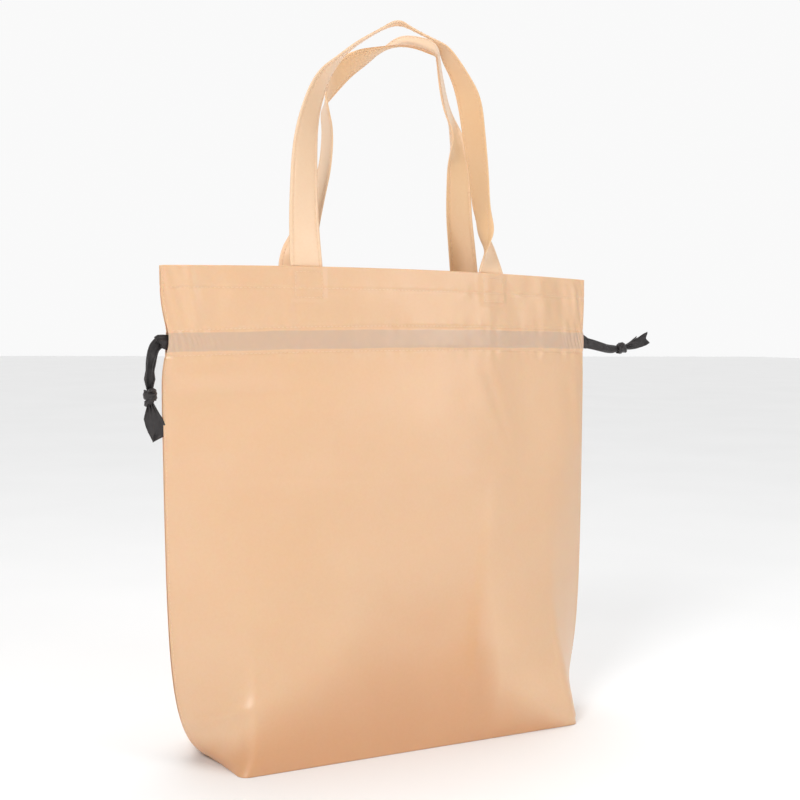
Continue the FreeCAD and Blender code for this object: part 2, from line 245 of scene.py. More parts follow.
def band_mask(n):
    """Where the dark ribbon shows through the cloth: a band with soft, uneven edges."""
    split = n.add("ShaderNodeSeparateXYZ", Vector=n.place)
    aside = n.math("SUBTRACT", split.outputs["X"], BAND_PEAK)
    sag = n.math("MULTIPLY", n.math("MULTIPLY", aside, aside), BAND_SAG)
    height = n.math("SUBTRACT", n.math("ADD", split.outputs["Z"], sag), BAND_RISE)
    wavy = n.math("ADD", height, n.uneven(30.0, 2.2 * MM))
    offset = n.math("ABSOLUTE", n.math("SUBTRACT", wavy, RIBBON_LEVEL))
    edge = eased(n.tree, offset, RIBBON_WIDTH / 2 + 0.4 * MM, RIBBON_WIDTH / 2 - 0.8 * MM, 0.0, 1.0)
    patchy = n.math("ADD", n.math("MULTIPLY", n.noise(150.0, 3.0), 0.35), 0.62)
    return n.math("MULTIPLY", edge, patchy)


def ribbon_material():
    """Charcoal satin ribbon with fine cross ribs and random mottling: its own darker tone, with lighter
    patches as painted sheen.
    """
    n = Nodes("charcoal_ribbon")
    ribs = n.add("ShaderNodeTexWave", Scale=1500.0, Distortion=0.6, Vector=n.place)
    ribs.bands_direction = "DIAGONAL"
    mottle_and_sheen = n.noise(260.0, 4.0, 0.6)
    # Random mottling: the darker stops are the ribbon's own tone, the lightest stop is painted sheen.
    colour = n.ramp(mottle_and_sheen, [(0.25, srgb(28, 24, 25)), (0.6, srgb(43, 38, 38)), (0.85, srgb(74, 67, 66))])
    n.set(Base_Color=colour, Roughness=n.math("ADD", n.math("MULTIPLY", mottle_and_sheen, 0.2), 0.28))
    n.set(Sheen_Weight=0.15, Sheen_Roughness=0.35)
    n.bump([(ribs.outputs["Fac"], 0.00008, 0.5), (mottle_and_sheen, 0.0003, 0.25)])
    return n.material


def thread_material():
    """Peach polyester thread with its ply."""
    n = Nodes("peach_thread")
    ply = n.add("ShaderNodeTexWave", Scale=2400.0, Distortion=1.0, Vector=n.place)
    ply.bands_direction = "DIAGONAL"
    colour = n.mix(n.math("MULTIPLY", ply.outputs["Fac"], 0.5), srgb(246, 212, 180), srgb(226, 182, 142))
    n.set(Base_Color=colour, Roughness=0.5, Sheen_Weight=0.2)
    n.bump([(ply.outputs["Fac"], 0.00008, 0.6)])
    return n.material


# ---- the wall's formula ----

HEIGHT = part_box("front_panel")[1].z
BASE_HALF = {-1: 155 * MM, 1: 160 * MM}
BASE_DEPTH = 120 * MM
BASE_CORNER = 8 * MM
RIM_BULGE = 24 * MM
RIM_HALF = 199 * MM
LOW_HALF = {-1: 190 * MM, 1: 202.5 * MM}
GUSSET_RISE, GUSSET_POWER = 24.5 * MM, 0.75
CORNER_FADE, CORNER_POWER = 100 * MM, 1.75
PINCH = {-1: 5 * MM, 1: 1 * MM}
PINCH_LEVEL, PINCH_SPREAD = 331 * MM, 20 * MM
SEAM_HALF = 1.2 * MM
FRONT, BACK = -1, 1
FACES = {"front": FRONT, "back": BACK}

CLOTH = 0.5 * MM
FOLD = 0.8 * MM
CHANNEL_LOW, CHANNEL_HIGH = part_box("front_casing")[0].z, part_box("front_casing")[1].z
RIBBON_LOW, RIBBON_HIGH = (corner.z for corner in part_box("left_drawstring_front_run"))
RIBBON_LEVEL = (RIBBON_LOW + RIBBON_HIGH) / 2
RIBBON_WIDTH = RIBBON_HIGH - RIBBON_LOW
BAND_PEAK, BAND_RISE, BAND_SAG = 70 * MM, 3.4 * MM, 0.077
STITCH_LEVELS = (RIBBON_LOW - 2.8 * MM, RIBBON_HIGH + 1.7 * MM)
HEM_LEVEL = HEIGHT - 16.5 * MM
# Strap centre line, as (x, y, z, twist in degrees), in millimetres as in the CAD model.
FRONT_STRAP = [
    (-85, -18.5, 387, 0), (-86, -18, 400, -5), (-88, -18, 440, -15), (-88, -19, 480, -22),
    (-83, -19, 511, -36), (-74, -18, 534, -44), (-61, -17, 549, -66), (-46, -16, 564, -79),
    (-26, -15, 577, -85), (-10, -14, 587, -84), (4, -14, 587, -110), (22, -14, 581, -111),
    (38, -15, 576, -112), (43, -16, 566, -97), (54, -18, 550, -91), (64, -18, 531, -77),
    (69, -18, 502, -80), (75, -18, 469, -89), (77, -18, 442, -92), (80, -18, 424, -100),
    (86, -18, 408, -140), (88, -18.5, 387, -172),
]
BACK_STRAP = [
    (-79, 18.5, 387, 0), (-77, 18, 396, 20), (-71, 16, 416, 65), (-62, 15, 445, 84), (-54, 15, 470, 94),
    (-52, 14, 500, 98), (-56, 13, 518, 103), (-54, 13, 530, 126), (-44, 13, 547, 142),
    (-30, 13, 558, 132), (-10, 13, 567, 108), (5, 13, 575, 85), (20, 12, 581, 59), (37, 12, 580, 49),
    (50, 12, 578, 43), (52, 13, 567, 54), (55, 13, 550, 51), (60, 14, 531, 49), (68, 14, 512, 48),
    (72, 16, 493, 30), (75, 16, 471, 11), (77, 18, 440, 6), (81, 18, 410, 3), (84, 18.5, 387, 0),
]
STRAPS = {"front": FRONT_STRAP, "back": BACK_STRAP}
STRAP_FEET = {FACES[name]: (path[0][0] * MM, path[-1][0] * MM) for name, path in STRAPS.items()}
STRAP_WIDTH = 28 * MM
STRAP = 1.8 * MM
ANCHOR_DEPTH = 26 * MM
STRAP_STITCH_INSET = 3 * MM
STRAP_OFFSET = 2.6 * MM


def bell(value, centre, width):
    return np.exp(-((value - centre) / width) ** 2)


def waves(a, b, seed, count=7, low=12.0, high=40.0):
    """Smooth repeatable noise of about -1 to 1 over two coordinates in metres."""
    rng = np.random.default_rng(seed)
    total = np.zeros(np.broadcast(a, b).shape)
    for _ in range(count):
        angle, size, phase = rng.uniform(0, PI), rng.uniform(low, high), rng.uniform(0, 2 * PI)
        total = total + np.sin((a * math.cos(angle) + b * math.sin(angle)) * size * 2 + phase)
    return total / count ** 0.5


def beside_line(x, z, start, end, fade):
    """Distance past a line's ends, distance to its left, and a strength that fades at its ends."""
    dx, dz = end[0] - start[0], end[1] - start[1]
    length = math.hypot(dx, dz)
    share = ((x - start[0]) * dx + (z - start[1]) * dz) / length ** 2
    left = ((z - start[1]) * dx - (x - start[0]) * dz) / length
    near = np.clip(np.minimum(share + fade, 1 + fade - share) / (2 * fade), 0, 1)
    return (share - np.clip(share, 0, 1)) * length, left, near * near * (3 - 2 * near)


def ridge(x, z, start, end, width):
    """Height of a soft ridge between two points (x, z), fading towards its ends."""
    past, left, strength = beside_line(x, z, start, end, 0.35)
    return bell(np.hypot(past, left), 0, width) * strength


def fold(x, z, start, end, width, spread):
    """Height of a fold between two points: steep to its right, easing off to its left."""
    _, left, strength = beside_line(x, z, start, end, 0.30)
    rising = 1 / (1 + np.exp(-np.clip(left / width, -30, 30)))
    return rising * np.exp(-np.maximum(left, 0) / spread) * strength


# Ridges as (start, end, width, height), in millimetres across and up the panel.
RIDGES = {
    FRONT: [
        ((-179, 384), (-171, 340), 4.5, 2.0), ((-158, 384), (-156, 345), 7, -1.3),
        ((-100, 386), (-101, 340), 5, 0.9), ((142, 384), (150, 348), 7, 1.4),
        ((187, 380), (188, 350), 4, 1.3), ((168, 384), (173, 350), 6, -1.3),
        ((80, 386), (84, 345), 8, 1.3), ((30, 380), (22, 346), 20, -0.9),
        ((112, 372), (118, 346), 9, -0.9), ((-192, 223), (180, 216), 5, 0.5),
        ((-175, 32), (-141, 50), 4, 1.5), ((-154, 32), (-155, 2), 3.5, 1.4),
        ((-90, 50), (-70, 0), 22, -1.2), ((60, 150), (20, 60), 22, -2.6),
        ((186, 300), (190, 240), 7, 1.4), ((66, 306), (100, 237), 8, 0.9),
    ],
    BACK: [
        ((-150, 384), (-146, 345), 5, 1.8), ((140, 384), (152, 346), 7, 1.3),
        ((-190, 220), (190, 221), 5, 0.5), ((172, 36), (138, 48), 4, 1.5),
        ((20, 300), (-50, 235), 12, 1.3), ((-60, 60), (-118, 8), 12, -1.6),
        ((60, 120), (110, 60), 14, -1.5), ((90, 386), (84, 345), 8, 1.2),
    ],
}
# Folds as (start, end, width, height, spread), in millimetres. Along the way from start to end, with
# +x to the right, the cloth rises steeply within the width and eases off to the left over the spread.
FOLDS = {
    FRONT: [
        ((76, 196), (44, 38), 2.6, 3.6, 42), ((72, 44), (153, 2), 3.0, 4.4, 17),
        ((76, 68), (152, 45), 1.6, 1.0, 10), ((-144, 20), (-131, 48), 3.6, 1.6, 18),
        ((-131, 48), (-140, 78), 4.2, 1.5, 18), ((-66, 66), (-47, 145), 6.0, 2.8, 46),
        ((68, 345), (107, 236), 2.6, 1.3, 26),
    ],
    BACK: [
        ((-46, 40), (-72, 180), 3.0, 3.2, 40), ((-150, 4), (-80, 46), 3.0, 4.0, 17),
        ((131, 46), (143, 20), 2.4, 3.2, 18), ((50, 140), (64, 66), 6.0, 2.6, 46),
    ],
}
# Soft swells as (x, z, half width, half height, height), in millimetres.
SWELLS = {
    FRONT: [
        (-140, 244, 70, 20, 3.6), (-72, 272, 34, 26, 3.0), (-170, 303, 24, 8, 1.8),
        (-128, 289, 44, 11, -3.0), (172, 236, 26, 34, 3.9), (150, 180, 30, 50, 2.4),
        (120, 295, 30, 36, -2.4), (20, 262, 60, 40, 2.1), (-120, 150, 50, 44, 3.0),
        (-150, 108, 24, 24, 2.4), (10, 96, 46, 46, -3.6), (110, 110, 40, 40, 2.7),
        (0, 180, 60, 30, -2.1), (-40, 360, 40, 16, 1.5), (120, 30, 24, 16, 2.1),
    ],
    BACK: [
        (130, 250, 60, 24, 2.4), (60, 276, 34, 24, 1.8), (120, 150, 50, 44, 2.2),
        (-150, 200, 30, 50, 2.0), (-30, 110, 60, 44, -2.0), (-110, 110, 40, 40, 1.8),
        (0, 190, 60, 34, 1.6), (150, 100, 26, 26, 1.4),
    ],
}


def relief(face, x, u, z):
    """How far the cloth stands out from the plain wall, in metres."""
    total = np.zeros(x.shape)
    place = (x / MM, z / MM)
    for start, end, width, height in RIDGES[face]:
        total = total + height * MM * ridge(*place, start, end, width)
    for start, end, width, height, spread in FOLDS[face]:
        total = total + height * MM * fold(*place, start, end, width, spread)
    for cx, cz, half_width, half_height, height in SWELLS[face]:
        total = total + height * MM * bell(place[0], cx, half_width) * bell(place[1], cz, half_height)
    calm = 0.5 + 0.5 * bell(z, 0.10, 0.16)
    total = total + 1.2 * MM * waves(x, z, 5 - face, 7, 8, 24) * calm
    total = total + 0.12 * MM * waves(x, z, 9 - face, 8, 50, 110)
    total = total + 4.2 * MM * bell(z, 66 * MM, 34 * MM) * np.clip(1 - np.abs(x / (140 * MM)) ** 4, 0, 1)
    total = total * np.clip(z / (8 * MM), 0.10, 1) * np.clip((1 - np.abs(u)) / 0.03, 0, 1)
    return total + channel_relief(x, z) + hem_relief(face, x, z)


def band_level(x):
    """Height of the middle of the ribbon, which sags towards both seams."""
    return RIBBON_LEVEL + BAND_RISE - BAND_SAG * (x - BAND_PEAK) ** 2


def channel_relief(x, z):
    """Ribbon under the cloth, sewn lines beside it, and pleats where it gathers at the seams."""
    level = z - band_level(x) + RIBBON_LEVEL
    over = bounded(level, RIBBON_LOW, RIBBON_HIGH)
    total = 0.55 * MM * over
    pucker = 0.35 * MM * waves(x, 0 * x, 21, 6, 150, 420)
    for stitch in STITCH_LEVELS:
        total = total - 0.55 * MM * bell(level, stitch, 0.9 * MM)
        total = total + pucker * bell(level, stitch, 6 * MM)
    for side, reach, above in ((-1, 58 * MM, 20 * MM), (1, 34 * MM, 26 * MM)):
        edge = RIM_HALF - side * x
        near = np.clip(1 - edge / reach, 0, 1) * np.clip(edge / (4 * MM), 0, 1)
        fan = edge - (z - RIBBON_LEVEL) * 0.30 * side
        folds = np.sin(fan / (0.62 * MM) + 1.5 * np.sin(z / (6 * MM)) + 2.2 * np.sin(fan / (5 * MM)))
        band = bell(level, RIBBON_LEVEL, 8 * MM)
        collar = np.clip((z - RIBBON_LEVEL) / above, 0, 1)
        long_folds = np.sin(fan / (1.5 * MM) + 1.1) * collar * np.exp(-collar * 1.6) * 2.2
        total = total + near * (0.42 * MM * folds * band + 0.75 * MM * near * long_folds)
    return total


def bounded(value, low, high, edge=0.5 * MM):
    """Soft window: 1 between two levels and 0 outside them."""
    rising = 1 / (1 + np.exp(-np.clip((value - low) / edge, -40, 40)))
    return rising / (1 + np.exp(np.clip((value - high) / edge, -40, 40)))


def hem_relief(face, x, z):
    """Sewn hem line and the strap ends that lie under the cloth."""
    total = -0.4 * MM * bell(z, HEM_LEVEL, 0.9 * MM)
    total = total + 0.22 * MM * waves(x, 0 * x, 33, 6, 120, 300) * bell(z, HEM_LEVEL, 6 * MM)
    for foot in STRAP_FEET[face]:
        inside = bounded(np.abs(x - foot), -STRAP_WIDTH, STRAP_WIDTH / 2)
        total = total + 0.9 * MM * inside * bounded(z, HEIGHT - ANCHOR_DEPTH, 2 * HEIGHT)
    return total


def by_side(u, values):
    return np.where(u < 0, values[-1], values[1])


def box_point(u):
    """Half outline of the boxed base: u from -1 at the left seam to 1 at the right."""
    length, depth, r = by_side(u, BASE_HALF), BASE_DEPTH / 2, BASE_CORNER
    flat, arc = length - r, PI * r / 2
    s = np.abs(u) * (flat + arc + depth - r)
    turn = np.clip((s - flat) / r, 0, PI / 2)
    x = np.where(s < flat, s, flat + r * np.sin(turn))
    y = depth - r + r * np.cos(turn) - np.maximum(s - flat - arc, 0)
    return np.sign(u) * x, y


def wall_middle(face, u, z):
    """Plain wall, before its creases. Returns x and y."""
    z = np.maximum(z, 0)
    box_x, box_y = box_point(u)
    rise = 1 - np.exp(-(z / GUSSET_RISE) ** GUSSET_POWER)
    low = by_side(u, LOW_HALF)
    opened = low + (RIM_HALF - low) * z / HEIGHT - by_side(u, PINCH) * bell(z, PINCH_LEVEL, PINCH_SPREAD)
    x = box_x * (1 - rise) + u * opened * rise
    bulge = BASE_DEPTH / 2 + (RIM_BULGE - BASE_DEPTH / 2) * z / HEIGHT
    soft = 1 - np.exp(-(z / CORNER_FADE) ** CORNER_POWER)
    depth = bulge * (box_y / (BASE_DEPTH / 2) * (1 - soft) + (1 - u * u) * soft)
    mouth = 1.5 * MM * bell(z, RIBBON_LEVEL, 9 * MM) * np.exp(-(1 - np.abs(u)) / 0.02)
    return x, face * (SEAM_HALF + depth + mouth)


def wall(face, u, z, offset=0.0):
    """Points on the wall, or at an outward offset from it, as an array of xyz."""
    u, z = np.broadcast_arrays(np.asarray(u, float), np.asarray(z, float))
    step = 0.004
    x, y = wall_middle(face, u, z)
    ax, ay = wall_middle(face, np.maximum(u - step, -1), z)
    bx, by = wall_middle(face, np.minimum(u + step, 1), z)
    length = np.hypot(bx - ax, by - ay)
    nx, ny = face * (ay - by) / length, face * (bx - ax) / length
    out = offset + relief(face, x, u, z)
    lift = 2.5 * MM * (1 - u * u) * (np.maximum(z, 0) / HEIGHT) ** 6
    return np.stack([x + nx * out, y + ny * out, z + lift], -1)


# ---- mesh helpers ----


def make_mesh(name, points, faces, material, smooth=True):
    mesh = bpy.data.meshes.new(name)
    mesh.from_pydata([tuple(p) for p in points], [], faces)
    mesh.materials.append(material)
    if smooth:
        mesh.polygons.foreach_set("use_smooth", [True] * len(mesh.polygons))
    mesh.update()
    obj = bpy.data.objects.new(name, mesh)
    bpy.context.scene.collection.objects.link(obj)
    return obj


def grid_faces(rows, columns, start=0, flip=False, wrap=False, loop=False):
    """Quads between rows of points; wrap joins each row's ends, loop joins the last row to the first."""
    faces = []
    for r in range(rows if loop else rows - 1):
        low, high = start + r * columns, start + (r + 1) % rows * columns
        for c in range(columns if wrap else columns - 1):
            d = (c + 1) % columns
            quad = (low + c, low + d, high + d, high + c)
            faces.append(quad[::-1] if flip else quad)
    return faces


def capped_faces(rows, columns, start):
    """Faces of a tube with a flat cap at each end."""
    first = tuple(range(start + columns - 1, start - 1, -1))
    last = tuple(range(start + (rows - 1) * columns, start + rows * columns))
    return grid_faces(rows, columns, start, wrap=True) + [first, last]


def closed_sheet(name, outer, inner, material, flip=False):
    """Thin closed mesh between two grids of the same size."""
    rows, columns = outer.shape[:2]
    count = rows * columns
    faces = grid_faces(rows, columns, 0, flip) + grid_faces(rows, columns, count, not flip)
    rim = [r * columns for r in range(rows)]
    rim += [(rows - 1) * columns + c for c in range(1, columns)]
    rim += [r * columns + columns - 1 for r in range(rows - 2, -1, -1)]
    rim += range(columns - 2, 0, -1)
    for a, b in zip(rim, rim[1:] + rim[:1]):
        quad = (a, b, b + count, a + count)
        faces.append(quad[::-1] if flip else quad)
    points = np.concatenate([outer.reshape(-1, 3), inner.reshape(-1, 3)])
    return make_mesh(name, points, faces, material)


def closed_tube(name, rings, material):
    """Tube through rings of points, closed at both ends by a fan."""
    rows, columns = rings.shape[:2]
    faces = grid_faces(rows, columns, wrap=True)
    points = rings.reshape(-1, 3)
    centres = np.array([rings[0].mean(0), rings[-1].mean(0)])
    first, last = len(points), len(points) + 1
    for c in range(columns):
        d = (c + 1) % columns
        faces.append((first, d, c))
        faces.append((last, (rows - 1) * columns + c, (rows - 1) * columns + d))
    return make_mesh(name, np.concatenate([points, centres]), faces, material)


def fit(piece, body, slot, *nodes):
    """Let a piece ride on a body and stand for CAD nodes."""
    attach(piece, body)
    if nodes:
        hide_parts(*nodes)


def normalised(v):
    return v / np.maximum(np.linalg.norm(v, axis=-1, keepdims=True), 1e-12)


def run_lengths(points):
    """Distance along a line of points, from its start to each of them."""
    return np.concatenate([[0], np.cumsum(np.linalg.norm(np.diff(points, axis=0), axis=1))])


def read_off(at, lengths, vectors):
    """Vectors interpolated at these distances along their line."""
    return np.stack([np.interp(at, lengths, vectors[:, k]) for k in range(3)], -1)


def boxy(value, power):
    """Sine or cosine, between -1 and 1, widened towards a square wave by a power below 1."""
    return np.sign(value) * np.abs(value) ** power


def spline_weights(count, samples, degree=2):
    """Rows of B-spline weights for a clamped, uniform spline over count poles."""
    spans = count - degree
    knots = np.concatenate([[0] * degree, np.arange(spans + 1), [spans] * degree]).astype(float)
    t = np.linspace(0, spans - 1e-9, samples)
    weights = ((t[:, None] >= knots[None, :-1]) & (t[:, None] < knots[None, 1:])).astype(float)
    for k in range(1, degree + 1):
        size = weights.shape[1] - 1
        left = knots[k:k + size] - knots[:size]
        right = knots[k + 1:k + 1 + size] - knots[1:1 + size]
        a = np.divide(t[:, None] - knots[:size], left, out=np.zeros((samples, size)), where=left > 0)
        b = np.divide(knots[k + 1:k + 1 + size] - t[:, None], right, out=np.zeros((samples, size)),
                      where=right > 0)
        weights = weights[:, :-1] * a + weights[:, 1:] * b
    return weights


# ---- drawstring tails ----

# The middle of each gathered drawstring, from its slot to its knot, in millimetres.
ROUTES = {
    "left": [(-198.9, 0, 328.0), (-203.0, -0.8, 325.2), (-205.6, -1.6, 319.2), (-207.0, -2.4, 311.0),
             (-207.9, -2.4, 302.0), (-207.6, -1.6, 294.6), (-207.0, -1.0, 290.6)],
    "right": [(203.9, 0, 328.4), (210.4, -1.2, 327.2), (219.4, -1.8, 325.0), (229.6, 0.8, 323.2),
              (238.2, 3.2, 323.2), (243.6, 4.4, 324.0)],
}
SIDES = {"left": -1, "right": 1}


def route_line(name, route):
    """Points read from the smooth NURBS spline that has the route as its control points."""
    curve = bpy.data.curves.new(name, "CURVE")
    curve.dimensions = "3D"
    spline = curve.splines.new("NURBS")
    spline.points.add(len(route) - 1)
    for point, place in zip(spline.points, route):
        point.co = (*(c * MM for c in place), 1.0)
    spline.order_u = 3
    spline.use_endpoint_u = True
    spline.resolution_u = 12
    holder = bpy.data.objects.new(name, curve)
    mesh = bpy.data.meshes.new_from_object(holder)
    points = np.array([v.co[:] for v in mesh.vertices])
    bpy.data.objects.remove(holder)
    bpy.data.meshes.remove(mesh)
    return points


def resample(points, count):
    """The same line with evenly spaced points, and its length."""
    lengths = run_lengths(points)
    return read_off(np.linspace(0, lengths[-1], count), lengths, points), lengths[-1]


def line_frames(points):
    """Two directions across a line at each point; the second is near the bag's depth axis."""
    tangent = normalised(np.gradient(points, axis=0))
    side = normalised(np.cross(tangent, DEPTH_AXIS))
    return side, np.cross(side, tangent)


def bunched_ring(a, b, count, phase, depth=0.2):
    """Cross section of gathered ribbon: an ellipse a by b with folds."""
    theta = np.linspace(0, 2 * PI, count, endpoint=False)
    fold = 1 + depth * np.sin(3 * theta + phase) + 0.5 * depth * np.sin(7 * theta - 2.2 * phase)
    return a * np.cos(theta) * fold, b * np.sin(theta) * fold


def folded_ring(half, puff, start, end, thick=0.45 * MM, count=30):
    """Cross section of a ribbon folded over lengthwise: a thin band round part of a flat oval."""
    theta = np.radians(np.linspace(start, end, count))
    inward = 1 - 0.30 * np.clip(np.linspace(-0.6, 1, count), 0, 1)
    crease = 1 + 0.10 * np.sin(theta * 5 + half * 900)
    x, y = half * np.cos(theta) * inward, puff * np.sin(theta) * inward * crease
    normal = normalised(np.stack([np.gradient(y), -np.gradient(x)], -1)) * thick / 2
    outer = np.stack([x, y], -1) + normal
    inner = np.stack([x, y], -1) - normal
    loop = np.concatenate([outer, inner[::-1]])
    return loop[:, 0], loop[:, 1]


# Half width along the gathered ribbon, as (share of its length, millimetres).
STRAND_HALVES = {
    "left": [(0, 5.4), (0.2, 4.7), (0.48, 4.1), (0.62, 3.5), (0.78, 4.6), (0.9, 3.4), (1, 2.3)],
    "right": [(0, 5.2), (0.3, 4.7), (0.6, 4.4), (0.8, 4.2), (0.92, 3.4), (1, 2.6)],
}
STRAND_TURN = {"left": (10, -28), "right": (-8, 12)}
STRAND_FOLD = {"left": (-35, 232), "right": (-62, 196)}


def make_strand(name, side, ribbon):
    """Two ribbons folded over and gathered between the slot and the knot."""
    line, length = resample(route_line(name + "_route", ROUTES[name]), 90)
    across, over = line_frames(line)
    shares, halves = zip(*STRAND_HALVES[name])
    rings = []
    for i, centre in enumerate(line):
        share = i / (len(line) - 1)
        half = np.interp(share, shares, halves) * MM
        puff = (1.1 + 1.3 * share + 0.35 * math.sin(share * 17)) * MM
        a, b = folded_ring(half, puff, *STRAND_FOLD[name])
        turn = math.radians(np.interp(share, (0, 1), STRAND_TURN[name]))
        x_axis = across[i] * math.cos(turn) + over[i] * math.sin(turn)
        y_axis = over[i] * math.cos(turn) - across[i] * math.sin(turn)
        rings.append(centre + np.outer(a, x_axis) + np.outer(-side * b, y_axis))
    strand = closed_tube(name + "_drawstring_gathered", np.array(rings), ribbon)
    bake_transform(strand)
    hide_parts(name + "_drawstring_strand")
    return strand, line, length


# Turns of ribbon round the knot: place along it, lean, radius, half width (mm), and puff.
KNOT_TURNS = [(-1.4, 0.30, 3.5, 3.9, 1.0), (2.6, -0.75, 3.5, 2.3, 1.2), (-2.2, -1.0, 3.9, 1.7, 1.0)]


def knot_turn(centre, direction, side, over, index, shift, lean, radius, width, puff):
    """One closed loop of flat ribbon wound round the knot."""
    theta = np.linspace(0, 2 * PI, 56, endpoint=False)
    wave = lean * np.cos(theta + 0.8 * index) * radius * MM
    path = (centre + np.outer(radius * MM * np.cos(theta) * 1.12, side)
            + np.outer(radius * MM * np.sin(theta) * 0.92, over)
            + np.outer(shift * MM + wave, direction))
    tangent = normalised(np.roll(path, -1, 0) - np.roll(path, 1, 0))
    outward = normalised(path - centre - np.outer((path - centre) @ direction, direction))
    outward = normalised(outward - tangent * (outward * tangent).sum(1, keepdims=True))
    along = np.cross(tangent, outward)
    phi = np.linspace(0, 2 * PI, 28, endpoint=False)
    flat = boxy(np.cos(phi), 0.7)
    pleat = 1 + 0.22 * np.sin(5 * phi[None] + 1.5 * index + 2 * np.sin(theta[:, None]))
    swell = (0.86 + 0.14 * np.cos(2 * theta + index))[:, None]
    return (path[:, None] + (width * MM * flat[None] * swell)[..., None] * along[:, None]
            + (puff * MM * np.sin(phi)[None] * pleat)[..., None] * outward[:, None])


def make_knot(name, line, ribbon):
    """Overhand knot: turns of folded ribbon wound round the strand, one across the others."""
    low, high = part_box(name + "_knot")
    centre = np.array((low + high) / 2)
    direction = normalised(line[-1] - line[-4])
    side = normalised(np.cross(direction, DEPTH_AXIS))
    over = np.cross(side, direction)
    points, faces, start = [], [], 0
    for index, turn in enumerate(KNOT_TURNS):
        ring = knot_turn(centre, direction, side, over, index, *turn)
        rows, columns = ring.shape[:2]
        points.append(ring.reshape(-1, 3))
        faces += grid_faces(rows, columns, start, wrap=True, loop=True)
        start += rows * columns
    steps = np.linspace(-1, 1, 16)
    core = []
    for i, step in enumerate(steps):
        swell = 1 - 0.45 * step ** 4
        a, b = bunched_ring(3.1 * MM * swell, 2.7 * MM * swell, 28, 0.4 * i, 0.14)
        core.append(centre + step * 5.6 * MM * direction + np.outer(a, side) + np.outer(b, over))
    core = np.array(core)
    rows, columns = core.shape[:2]
    points.append(core.reshape(-1, 3))
    faces += capped_faces(rows, columns, start)
    knot = make_mesh(name + "_tied_knot", np.concatenate(points), faces, ribbon)
    fit(knot, name + "_tail", "ribbon", name + "_knot")
    return knot, centre, direction


# Free ends of each tail. Edges are (share, left, right) offsets from the middle, in millimetres.
END_SHAPES = {
    "left": [
        {"reach": 31, "bend": (2.0, -3.2, 0), "lift": 0.6,
         "edges": [(0, -2.3, 2.3), (0.15, -4.0, 3.8), (0.4, -7.0, 7.6), (0.6, -6.8, 8.8), (0.78, -6.0, 9.2),
                   (0.82, -5.6, 8.8), (1, -4.6, -3.8)]},
        {"reach": 27, "bend": (3.0, 1.2, 0), "lift": -0.9,
         "edges": [(0, -2.3, 2.3), (0.2, -3.8, 4.6), (0.5, -6.2, 8.0), (0.8, -5.2, 8.2), (1, -2.6, -1.4)]},
    ],
    "right": [
        {"reach": 31, "bend": (0, -2.0, 4.5), "lift": 1.2,
         "edges": [(0, -1.9, 1.9), (0.2, -2.6, 3.0), (0.6, -4.4, 5.0), (0.85, -5.4, 5.8), (1, -5.2, 5.4)]},
        {"reach": 28, "bend": (0, 3.5, 2.0), "lift": -1.6,
         "edges": [(0, -1.9, 1.9), (0.3, -3.2, 3.4), (0.7, -5.4, 4.8), (1, -6.2, 5.2)]},
    ],
}
# Depth of the cut in the end's edge (mm), and the direction across the ribbon.
NOTCH = {"left": 0.0, "right": 2.4}
END_ACROSS = {"left": (0.875, -0.484, 0.0), "right": (0.25, -0.3, -0.9)}


def make_end(name, index, centre, direction, ribbon):
    """One cut end of ribbon below the knot, opening out from its gathered root."""
    shape = END_SHAPES[name][index]
    start = centre + direction * 4.6 * MM
    across = normalised(np.array(END_ACROSS[name]))
    across = normalised(across - direction * (across @ direction))
    over = np.cross(across, direction)
    t = np.linspace(0, 1, 60)[:, None]
    v = np.linspace(-1, 1, 31)[None, :]
    shares, lows, highs = (np.array(column) for column in zip(*shape["edges"]))
    low, high = np.interp(t, shares, lows) * MM, np.interp(t, shares, highs) * MM
    sideways = (low + high) / 2 + (high - low) / 2 * v
    gather = np.exp(-t / 0.25)
    folds = 1.3 * MM * gather * np.cos(v * 10 + index) + 0.9 * MM * np.cos(v * 3.4 + 2.5 * t + 2 * index) * t
    curl = 1.1 * MM * t * t * v * np.abs(v) * (1 if index else -1)
    along = (shape["reach"] * t - NOTCH[name] * (1 - np.abs(v)) * t ** 6) * MM
    middle = (start + along[..., None] * direction + sideways[..., None] * across
              + (t ** 2)[..., None] * np.array(shape["bend"]) * MM
              + (folds + curl + shape["lift"] * MM * t + (0.5 - index) * 1.1 * MM)[..., None] * over)
    du, dv = np.gradient(middle, axis=0), np.gradient(middle, axis=1)
    normal = normalised(np.cross(du, dv))
    half_thick = 0.15 * MM
    end = closed_sheet("%s_ribbon_end_%d" % (name, index + 1), middle + normal * half_thick,
                       middle - normal * half_thick, ribbon, flip=True)
    fit(end, name + "_tail", "ribbon")
    return end


def make_neck(name, side, line, ribbon):
    """Ribbons gathering in the slot of the side seam."""
    seam = abs(float(wall_middle(FRONT, np.array(float(side)), np.array(RIBBON_LEVEL))[0]))
    start = np.array([side * (seam - 9 * MM), 0, band_level(side * seam)])
    joined = np.vstack([start, start + [side * 8 * MM, 0, 0], line[0:4]])
    path, _ = resample(joined, 26)
    across, over = line_frames(path)
    rings = []
    for i, point in enumerate(path):
        share = i / (len(path) - 1)
        a, b = bunched_ring((6.4 - 1.9 * share) * MM, (0.95 + 1.3 * share ** 2) * MM, 44,
                            side + 1.5 * (1 - share), 0.2 * share)
        rings.append(point + np.outer(a, across[i]) + np.outer(b, over[i]))
    neck = closed_tube(name + "_drawstring_gather", np.array(rings), ribbon)
    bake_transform(neck)
    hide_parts(name + "_pull_neck")


